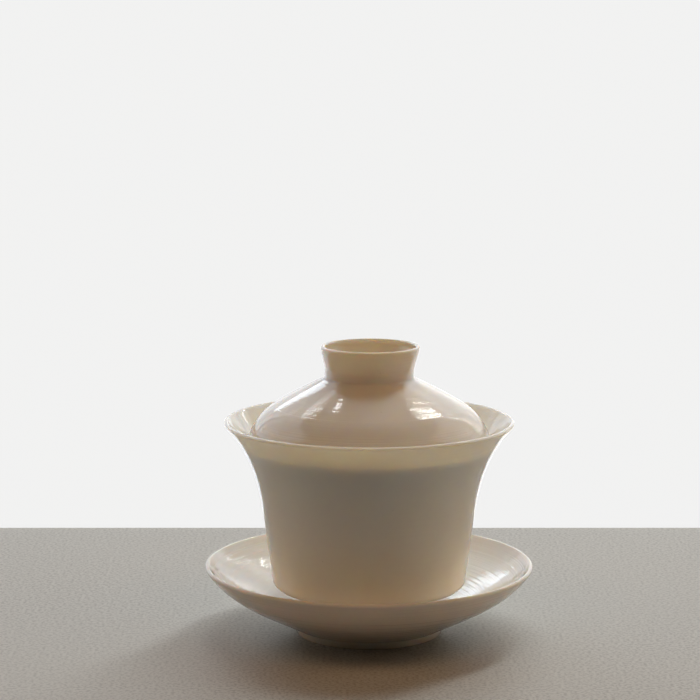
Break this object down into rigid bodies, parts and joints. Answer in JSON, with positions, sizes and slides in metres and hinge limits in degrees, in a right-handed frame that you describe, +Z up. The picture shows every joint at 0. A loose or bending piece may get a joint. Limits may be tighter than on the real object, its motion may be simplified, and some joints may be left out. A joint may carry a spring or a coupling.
{
  "type": "gaiwan",
  "caption": "Lidded porcelain tea bowl with a flared rim, a domed lid with a hollow collar knob, and a shallow saucer with a well for the bowl's foot.",
  "frame": {"origin": "centre of the saucer's foot ring, on the surface that the gaiwan stands on", "axes": "+Z up along the shared turning axis of saucer, bowl and lid; X and Y are equal, because every piece is turned"},
  "size_m": [0.1114, 0.1114, 0.0985],
  "materials": {
    "porcelain": "smooth glossy ivory-white glaze over thin translucent porcelain, bare on the foot rings"
  },
  "bodies": {
    "saucer": {"saucer": "porcelain"},
    "bowl": {"bowl": "porcelain"},
    "lid": {"lid": "porcelain"}
  },
  "joints": [
    {"name": "bowl_lift", "type": "slide", "parent": "saucer", "child": "bowl", "axis": [0, 0, 1], "range_m": [0, 0.06]},
    {"name": "lid_lift", "type": "slide", "parent": "bowl", "child": "lid", "axis": [0, 0, 1], "range_m": [0, 0.05]}
  ]
}
